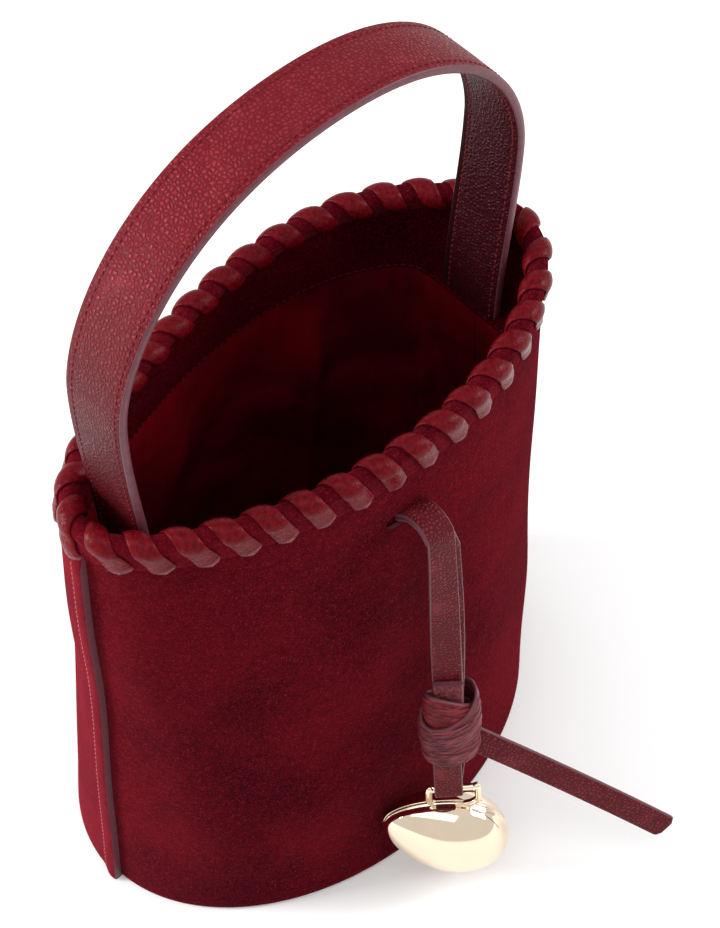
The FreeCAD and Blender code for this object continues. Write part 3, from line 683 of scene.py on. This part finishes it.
def disc(name, level, skin, inset, thick, ripple):
    """Oval sheet with a rounded edge; ripple(x, y) lifts its upper face."""
    rings, spokes = 26, 120
    points = []
    for side in (1, -1):
        for r in range(rings + 1):
            share = r / rings
            edge = thick / 2 * sqrt(max(0.0, 1 - max(0.0, (share - 0.985) / 0.015) ** 2))
            for k in range(spokes):
                t = 2 * pi * k / spokes
                rim = FOOT_CENTRE + (foot_point(t) - FOOT_CENTRE - outward(foot_point, t) * inset) * share
                height = level + thick / 2 + side * edge
                if side > 0:
                    height += ripple(rim.x, rim.y) * (1 - smooth((share - 0.9) / 0.1))
                points.append(Vector((rim.x, rim.y, height)))
    upper = grid(rings + 1, spokes, round_columns=True, flip=True)
    lower = [tuple(i + (rings + 1) * spokes for i in reversed(face)) for face in upper]
    return add_mesh(name, points, upper + lower, [skin])


def base():
    """Suede base with its stitching underneath, and the lining's floor."""
    sole = disc("base_suede", 0.45, SUEDE_SKIN, 2.1, 1.6, lambda x, y: 0.0)
    settle(sole, "bag", "suede", "base_panel")
    line = [foot_point(t) - outward(foot_point, t) * 5.5 + Z * 0.45 for t in steps(0, 2 * pi, 0.03)]
    row = Run(respace(line, 2.0), outward(foot_point, 0))
    row.out = [-Z] * len(row.out)
    row.across = [side.cross(along) for side, along in zip(row.out, row.along)]
    under = stitches("base_stitches", [(row, 0, 0)], radius=0.32)
    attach(under, "bag")
    floor = disc("lining_floor", 4.5, LINING_CLOTH, 3.6, 0.9,
                 lambda x, y: 0.5 + 0.5 * sin(x * 0.07 + 1.5 * sin(y * 0.05)) * cos(y * 0.06))
    settle(floor, "bag", "lining", "lining_base")


# ---- rim

def panel_face(t):
    """Offset of the outermost panel: the back panel laps over the front one."""
    from_back = abs((t - BACK + pi) % (2 * pi) - pi)
    return BACK_FACE * smooth((BACK + SEAM_TURN + 0.03 - from_back) / 0.06)


def lace_angles():
    """Angles that divide the mouth into equal lengths, one for each turn of lace."""
    parts = 1440
    reach = reaches([mouth_point(2 * pi * i / parts) for i in range(parts + 1)])
    angles, i = [], 0
    for k in range(LACE_TURNS):
        target = reach[-1] * (k + 0.5) / LACE_TURNS
        while reach[i + 1] < target:
            i += 1
        angles.append(2 * pi * (i + (target - reach[i]) / (reach[i + 1] - reach[i])) / parts)
    return angles


LACES = lace_angles()


def rim_section(t, radius):
    """Line from the outside of the wall over the roll and down to the facing, at angle t."""
    heart = mouth_point(t) + Z * ROLL_LEVEL
    out = outward(mouth_point, t)
    points = [wall_point(t, 232.5, panel_face(t) - 0.5), wall_point(t, 234.5, panel_face(t) + 0.05),
              wall_point(t, 236.8, panel_face(t) + 0.4)]
    points += arc(heart, out, Z, radius, range(-32, 221, 14))
    return points + [wall_point(t, 237.6, FACING_FACE - 0.5), wall_point(t, 235.5, FACING_FACE + 0.3)]


def rim_roll():
    """Rolled suede edge, a little drawn in under each turn of lace."""
    points, parts = [], 12
    spans = list(zip(LACES, LACES[1:] + [LACES[0] + 2 * pi]))
    angles = [a + (b - a) * i / parts for a, b in spans for i in range(parts)]
    for k, t in enumerate(angles):
        swell = 0.25 * sin(pi * (k % parts) / parts) ** 2 - 0.2 + 0.08 * sin(5.3 * k)
        points += rim_section(t, ROLL_RADIUS + swell)
    faces = grid(len(angles), len(points) // len(angles), round_rows=True, flip=True)
    settle(add_mesh("rim_roll_suede", points, faces, [ROLL_SKIN]), "bag", "suede", "rim_roll")


def lace_line(t):
    """The lace's centreline at angle t, from its inner end over the roll to its outer end."""
    radius = ROLL_RADIUS + 0.15 + LACE_THICKNESS / 2
    heart = mouth_point(t) + Z * ROLL_LEVEL
    out = outward(mouth_point, t)
    proud = LACE_THICKNESS / 2 + 0.1
    points = [wall_point(t, 236.0, FACING_FACE + 1.2), wall_point(t, 238.5, FACING_FACE - 1.0)]
    points += arc(heart, out, Z, radius, range(206, -23, -12))
    for level in (239.0, 236.5, 234.2):
        points.append(wall_point(t, level, panel_face(t) + proud + 0.05 * (level - 234)))
    return points


def lace_strap(points, faces, kinds, uvs, t, dice):
    """One slanted turn of flat lace, added to the lists of a mesh."""
    slant = radians(LACE_SLANT + dice.uniform(-2.5, 2.5))
    sine, cosine = sin(slant), cos(slant)
    line = respace(lace_line(t), LACE_STEP)
    top = max(range(len(line)), key=lambda i: line[i].z)
    start = -top * LACE_STEP / cosine
    end = ((len(line) - 1 - top) * LACE_STEP + dice.uniform(-0.6, 0.2)) / cosine
    rim = mouth_point(t + 0.01) - mouth_point(t - 0.01)
    per_radian, tangent = rim.length / 0.02, rim.normalized()
    tracks = {}

    def on_surface(down, aside):
        """Point, and the direction down the line there, at a distance down it and along the rim."""
        key = round(aside * 2)
        if key not in tracks:
            tracks[key] = respace(lace_line(t + key / 2 / per_radian), LACE_STEP)
        track = tracks[key]
        shift = max(range(len(track)), key=lambda i: track[i].z)
        place = min(max(down / LACE_STEP + shift, 0.0), len(track) - 1.001)
        i = int(place)
        point = track[i].lerp(track[i + 1], place - i) + tangent * (aside - key / 2)
        return point, (track[i + 1] - track[i]).normalized()

    template = strap_outline(LACE_WIDTH / 2, LACE_THICKNESS / 2, LACE_CROWN, 0.0)
    runs = steps(start, end - 3.0, 1.3) + [end - gap for gap in (2.2, 1.5, 0.9, 0.45, 0.15, 0.0)]
    faces.extend(rod(len(runs), len(template), len(points)))
    kinds.extend([0] * ((len(runs) - 1) * len(template)) + [1, 1])
    for run in runs:
        from_end, half = end - run, LACE_WIDTH / 2
        if from_end < LACE_ROUNDING:
            half += sqrt(LACE_ROUNDING ** 2 - (LACE_ROUNDING - from_end) ** 2) - LACE_ROUNDING
        for across, out, _ in template:
            wide = across / (LACE_WIDTH / 2) * half
            point, slope = on_surface(run * cosine - wide * sine, run * sine + wide * cosine)
            points.append(point + tangent.cross(slope).normalized() * -out)
            uvs.append((from_end, across + 20 * t))


def rim_laces():
    """Every turn of lace, in one mesh for each side."""
    dice = random.Random(5)
    for side, t_from in (("back", 0.0), ("front", pi)):
        lists = ([], [], [], [])
        for t in LACES:
            if t_from <= t < t_from + pi:
                lace_strap(*lists, t, dice)
        points, faces, kinds, uvs = lists
        laces = add_mesh("rim_lace_turns_" + side, points, faces, [LACE_SKIN, PAINT], kinds, uvs, sharp=70)
        settle(laces, "bag", "lace_leather", "rim_lace_" + side)


# ---- handle

def bezier(poles, u):
    """Point of a cubic Bezier curve."""
    v = 1 - u
    return poles[0] * v ** 3 + poles[1] * 3 * u * v ** 2 + poles[2] * 3 * u ** 2 * v + poles[3] * u ** 3


def handle_run():
    """The whole strap, from the left sewn end over the arch to the right one."""
    leg = ((HANDLE_ROOT, -HANDLE_TAB_DEPTH), (HANDLE_ROOT, -7), (HANDLE_SPREAD, 22),
           (HANDLE_SPREAD, HANDLE_SHOULDER))
    arch = (leg[3], (HANDLE_SPREAD, 82), (0.74 * HANDLE_SPREAD, HANDLE_RISE), (0, HANDLE_RISE))
    lower, upper = ([Vector((x, 0, BODY_HEIGHT + rise)) for x, rise in poles] for poles in (leg, arch))
    right = [bezier(lower, u) for u in steps(0, 1, 0.02)] + [bezier(upper, u) for u in steps(0, 1, 0.01)[1:]]
    left = [Vector((-p.x, 0, p.z)) for p in right]
    lean = X * HANDLE_LEAN - Z * HANDLE_SINK
    line = [p + lean * smooth((p.z - BODY_HEIGHT) / HANDLE_RISE) for p in left[:-1] + right[::-1]]
    return Run(respace(line, 1.6), Y)


def handle():
    """Stitched and edge-painted strap, bending where it leaves the rim."""
    run = handle_run()
    length = run.reach[-1]
    outer = pebbled_material("handle_leather", rgb(144, 40, 49), rgb(102, 16, 26), 0.3, rgb(156, 54, 62),
                             length)
    # Painted shade: the strap's inner face is a darker copy of its leather, for the shade on the inside of
    # the handle.
    inner = pebbled_material("handle_inner_leather_painted_shade", rgb(78, 8, 16), rgb(46, 3, 8), 0.3, rgb(86, 14, 22),
                             length)
    band = strap("handle_strap", run, HANDLE_WIDTH, HANDLE_THICKNESS - 0.5, [outer, inner, PAINT],
                 crown=0.25, groove=0.3, round_start=3.0, round_end=3.0)
    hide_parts("handle_outer", "handle_inner", "handle_core", "handle_tab_left", "handle_tab_right")
    inset, surface = HANDLE_WIDTH / 2 - 3.0, HANDLE_THICKNESS / 2 - 0.25
    rows = [(face, way * inset, surface - 0.12) for face in (run, Run(run.points, -Y)) for way in (-1, 1)]
    seams = stitches("handle_stitches", rows, pitch=3.0, length=2.35, radius=0.42, thread=HANDLE_THREAD)
    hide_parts("handle_thread_front", "handle_thread_back", "tab_thread_left", "tab_thread_right")
    for piece, slot in ((band, "handle_leather"), (seams, "thread")):
        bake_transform(piece)


# ---- charm

def charm_place(turn=0.0):
    """Placement of the charm: it hangs down local -Z from the swing axis."""
    turns = [Matrix.Rotation(radians(angle), 4, axis)
             for angle, axis in ((CHARM_LEAN, "X"), (CHARM_DRIFT, "Y"), (turn, "Z"))]
    return Matrix.Translation(CHARM_PIVOT) @ turns[0] @ turns[1] @ turns[2]


def in_charm(x, y, drop, turn=0.0):
    """Point of the charm in millimetres."""
    return charm_place(turn) @ Vector((x, y, -drop))


def strap_layers():
    """Both layers of the charm strap, from inside the bag to the knot, with each point's drop."""
    knots = [Vector((0, -47.2, 199)), Vector((0, -47.4, 205)), Vector((0, -49.6, 210.4))]
    knots += arc(CHARM_PIVOT + Y * CHARM_BEND, Y, Z, CHARM_BEND, range(50, 161, 22))
    knots += [in_charm(0, 0, drop) for drop in (5, 14, 30, 50, 70, 90, 103)]
    line = smooth_path(knots, 1.2)
    down = (charm_place() @ Vector((0, 0, -1)) - charm_place() @ Vector((0, 0, 0))).normalized()
    drops = [(point - CHARM_PIVOT).dot(down) if point.y < CHARM_PIVOT.y + CHARM_BEND else -20.0
             for point in line]
    across = []
    for drop in drops:
        turn = -9 * smooth((drop + 12) / 14) - 31 * smooth(drop / 80)
        across.append(charm_place(turn).to_3x3() @ X)
    run = Run(line, across)
    layers = {}
    for name, rise in (("front", 0.9), ("back", -0.9)):
        points = []
        for i, point in enumerate(line):
            aside = slip = 0.0
            if name == "back":
                fade = max(0.0, min((drops[i] + 4) / 14.5, 1 - (drops[i] - 10.5) / 85))
                aside, slip = 4.2 * fade, -2.0 * fade
            points.append(point + run.out[i] * (rise + slip) + run.across[i] * aside)
        layers[name] = (points, across)
    return layers, drops


def charm_strap():
    """Both layers of the strap in two lengths: one bending over the slit, and one hanging below it."""
    layers, drops = strap_layers()
    rigid = next(i for i, drop in enumerate(drops) if drop > 9)
    spans = {"bend": (0, rigid), "fall": (rigid, len(drops) - 1)}
    nodes = {("bend", "front"): ["charm_arch", "charm_link"], ("fall", "front"): ["charm_strap_front"],
             ("fall", "back"): ["charm_strap_back"]}
    for span, (first, last) in spans.items():
        for layer, (points, across) in layers.items():
            run = Run(points[first:last + 1], across[first:last + 1])
            piece = strap("charm_strap_%s_%s" % (span, layer), run, STRAP_WIDTH, STRAP_THICKNESS,
                          STRAP_SKINS, crown=0.15)
            if nodes.get((span, layer)):
                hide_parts(*nodes[span, layer])
            if span == "bend":
                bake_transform(piece)
            else:
                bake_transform(piece)


def knot_ring(name, half_width, half_depth, top, bottom, skin, node_name):
    """One turn of the knot; top(t) and bottom(t) are the drops of its edges at angle t."""
    turn, half = charm_place(KNOT_TURN), 8.5
    template = strap_outline(half, STRAP_THICKNESS / 2, 0.8, 0.0)
    points, uvs, spokes = [], [], 80
    for k in range(spokes):
        t = 2 * pi * k / spokes
        middle, reach = (top(t) + bottom(t)) / 2, (bottom(t) - top(t)) / 2
        for across, out, kind in template:
            lane = across / half
            rise = out - STRAP_THICKNESS / 2
            if kind == 0:
                swirl = lane * 9 + 1.6 * sin(2 * t + lane * 2)
                rise += 0.16 * sin(swirl * 1.7) + 0.08 * sin(swirl * 4.1 + 1.1 * t)
            points.append(turn @ Vector(((half_width + rise) * cos(t), (half_depth + rise) * sin(t),
                                         lane * reach - middle)))
            uvs.append((half_width * abs(t - pi), lane * reach))
    faces = grid(spokes, len(template), round_rows=True, round_columns=True, flip=True)
    kinds = [kind for _, _, kind in template] * spokes
    band = add_mesh(name, points, faces, [skin, skin, PAINT], kinds, uvs, sharp=62)
    settle(band, "charm", "strap_leather", node_name)


def knot():
    """Three turns of strap wound downward, and the strap's cut end tucked into the knot's mouth."""
    def tilted(drop, lift, high_side):
        """Drop of an edge that is lifted towards one side."""
        return lambda t: drop - lift * cos(t - radians(high_side))

    knot_ring("knot_turn_inner", 9.6, 7.7, tilted(91.9, 7.9, 219), tilted(106, 2, 219), INNER_TURN_SKIN,
              "knot_turn_top")
    knot_ring("knot_turn_wide", 11.7, 9.5, tilted(95.8, 6.3, 19), tilted(118.5, 5.5, 270), KNOT_SKIN,
              "knot_turn_middle")
    knot_ring("knot_turn_low", 11.0, 8.8, tilted(116.5, 5.5, 270), tilted(126.0, 1.0, 252), KNOT_SKIN,
              "knot_turn_bottom")
    across = charm_place(-43).to_3x3() @ X
    line = [in_charm(0, -3.4, drop, -40) for drop in steps(79, 100, 1.0)]
    tuck = strap("charm_cut_end", Run(line, across), STRAP_WIDTH - 0.3, 2.2, [FLESH, STRAP_SKIN, PAINT])
    settle(tuck, "charm", "strap_leather", "charm_tuck")


def charm_loop():
    """Doubled strap below the knot, round the bail's bar."""
    bend, aside = BAIL_WIRE + 0.25 + STRAP_THICKNESS / 2, -1.9
    places = [(0, -bend + 0.2, 112), (0, -bend, 130), (0, -bend, 143)]
    for turn in range(180, 361, 30):
        angle = radians(turn)
        places.append((0, bend * cos(angle), BAIL_DROP - bend * sin(angle)))
    places += [(1, bend, 143), (2, bend + 0.5, 130), (1, bend - 0.2, 112)]
    knots = [in_charm(aside + over, y, drop, CHARM_TURN) for over, y, drop in places]
    across = charm_place(CHARM_TURN).to_3x3() @ X
    loop = strap("charm_loop_strap", Run(smooth_path(knots, 0.8), across), STRAP_WIDTH - 0.4, STRAP_THICKNESS,
                 STRAP_SKINS, crown=0.12)
    settle(loop, "charm", "strap_leather", "charm_loop")


def charm_tail():
    """Loose end of the strap, springing out of the knot's side."""
    heading = Euler([radians(angle) for angle in (-20, 39, -48)], "XYZ").to_matrix()
    root = in_charm(14.0, -5.0, 127)
    along, droop = heading @ X, 4.4
    knots = [root + along * reach - Z * (droop * (1 - reach / TAIL_LENGTH) ** 2)
             for reach in (-11, -5, 2, 26, 50, 74, TAIL_LENGTH)]
    tail = strap("charm_tail_strap", Run(smooth_path(knots, 1.2), heading @ Z), STRAP_WIDTH, STRAP_THICKNESS,
                 STRAP_SKINS, crown=0.15, round_end=2.2)
    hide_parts("charm_tail")
    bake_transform(tail)


def egg(angle, rise):
    """Point of the pebble's front half: angle runs round the parting line, rise is 90 at the belly."""
    x = cos(angle) * cos(rise)
    fat = 1 + 0.1 * x
    z = sin(angle) * cos(rise) * fat
    tip = max(-x, 0.0) ** 2
    y = sin(rise) * (1 + 0.1 * x - 0.25 * tip)
    return Vector((PEBBLE_HALF.x * x - TIP_REACH * tip, PEBBLE_HALF.y * y,
                   PEBBLE_HALF.z * z - PEBBLE_SLANT * x + TIP_RISE * tip))


def pebble():
    """Egg-shaped hollow pebble of two shells that meet in a fine double bead."""
    place = charm_place(CHARM_TURN) @ Matrix.Translation((PEBBLE_OFFSET, 0, -PEBBLE_DROP))
    bead = ((0.975, 0.1), (1.004, 0.12), (1.016, 0.35), (1.018, 0.7), (1.010, 1.0), (1.0, 1.25))
    rows = [(grow, gap, 0.0) for grow, gap in bead] + [(1.0, 1.25, rise) for rise in steps(6, 87, 4.5)]
    spokes = 96
    last = (len(rows) - 1) * spokes
    for side, way in (("front", -1), ("back", 1)):
        points = []
        for grow, gap, rise in rows:
            shrink = (PEBBLE_HALF.y - gap) / PEBBLE_HALF.y
            for k in range(spokes):
                point = egg(2 * pi * k / spokes, radians(rise))
                away = way * (gap + point.y * shrink)
                points.append(place @ Vector((point.x * grow, away, point.z * grow)))
        points.append(place @ Vector((0, way * PEBBLE_HALF.y, 0)))
        faces = grid(len(rows), spokes, round_columns=True, flip=True)
        faces += [(last + k, len(points) - 1, last + (k + 1) % spokes) for k in range(spokes)]
        if way > 0:
            faces = [tuple(reversed(face)) for face in faces]
        piece = add_mesh("pebble_egg_" + side, points, faces, [GOLD], sharp=80)
        settle(piece, "pebble", "gold", "pebble_%s_shell" % side)


def tube(name, line, sections, radius, material, sides=14):
    """Closed round tube; line(k) is the centre of section k of the given number."""
    centres, points = [line(k) for k in range(sections)], []
    axis = (centres[sections // 3] - centres[0]).cross(centres[2 * sections // 3] - centres[0]).normalized()
    for k, centre in enumerate(centres):
        along = (centres[(k + 1) % sections] - centres[k - 1]).normalized()
        points += arc(centre, along.cross(axis), axis, radius, [360 * j / sides for j in range(sides)])
    faces = grid(sections, sides, round_rows=True, round_columns=True, flip=True)
    return add_mesh(name, points, faces, [material], sharp=80)


def rim_cord():
    """Filler cord inside the rolled edge."""
    cord = fibre_material("filler_cord", rgb(96, 60, 56), rgb(140, 104, 98), 900, 0.2)
    ring = tube("rim_filler_cord", lambda k: mouth_point(2 * pi * k / 180) + Z * ROLL_LEVEL, 180, 2.9, cord)
    settle(ring, "bag", "cord", "rim_cord")


def bail():
    """Wire loop that carries the pebble: a flat bar, raised at its ends, and a rounded foot set in it."""
    sections, ear_height, bar_power, foot_power = 96, 3.0, 0.1, 0.8

    def centre(k):
        """Point of the loop; a lower power makes a straighter side."""
        t = 2 * pi * k / sections
        across, up = cos(t), sin(t)
        ear = ear_height * max(up, 0.0) * smooth((abs(across) - 0.78) / 0.2)
        rise = BAIL_HALF_HEIGHT * copysign(abs(up) ** (bar_power if up > 0 else foot_power), up)
        return in_charm(BAIL_HALF_WIDTH * copysign(abs(across) ** foot_power, across), 0,
                        BAIL_DROP + BAIL_HALF_HEIGHT - rise - ear, CHARM_TURN)

    settle(tube("pebble_bail", centre, sections, BAIL_WIRE, GOLD), "pebble", "gold", "charm_bail")


def base_board():
    """Fibreboard look for the stiffener in the base."""
    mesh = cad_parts["base_board"].data
    mesh.materials.clear()
    mesh.materials.append(fibre_material("fibreboard", rgb(96, 80, 70), rgb(140, 122, 106), 300, 0.1))


# ---- studio

def floor():
    """Wide pale floor under the bag."""
    reach = 4000
    corners = [Vector((x * reach, y * reach, -0.4)) for x, y in ((-1, -1), (1, -1), (1, 1), (-1, 1))]
    add_mesh("studio_floor", corners, [(0, 1, 2, 3)], [floor_material()])


def softbox(name, place, aim, width, height, power):
    """Rectangular studio light."""
    lamp = bpy.data.lights.new(name, "AREA")
    lamp.shape = "RECTANGLE"
    lamp.size, lamp.size_y, lamp.energy = width, height, power
    made = bpy.data.objects.new(name, lamp)
    made.location = place
    made.rotation_euler = (Vector(aim) - Vector(place)).to_track_quat("-Z", "Y").to_euler()
    bpy.context.scene.collection.objects.link(made)


def studio():
    """Pale floor, white surroundings, soft lights and the camera."""
    floor()
    world = bpy.data.worlds.new("studio")
    world.use_nodes = True
    sky = world.node_tree.nodes["Background"].inputs
    sky["Color"].default_value, sky["Strength"].default_value = (1, 1, 1, 1), 0.8
    scene = bpy.context.scene
    scene.world = world
    scene.view_settings.view_transform = "Standard"
    softbox("key", (-0.5, -0.25, 1.7), (0, 0, 0.2), 2.0, 0.8, 7)
    softbox("back_light", (-1.2, 0.9, 0.6), (0, 0, 0.12), 0.5, 0.9, 26)
    softbox("side_light", (1.15, -0.75, 0.85), (0, 0, 0.15), 0.45, 0.7, 11)
    camera_data = bpy.data.cameras.new("camera")
    camera_data.sensor_width = 36
    camera_data.lens = 105.4
    camera_data.clip_start = 0.01
    camera = bpy.data.objects.new("camera", camera_data)
    camera.location = (-0.3861, -0.4423, 1.0059)
    camera.rotation_euler = Vector((0.39741, 0.42566, -0.81294)).to_track_quat("-Z", "Y").to_euler()
    scene.collection.objects.link(camera)
    scene.camera = camera


front_panel()
back_panel()
side_seam_stitches()
inner_walls()
base()
rim_roll()
rim_laces()
rim_cord()
handle()
charm_strap()
knot()
charm_loop()
charm_tail()
pebble()
bail()
base_board()
studio()
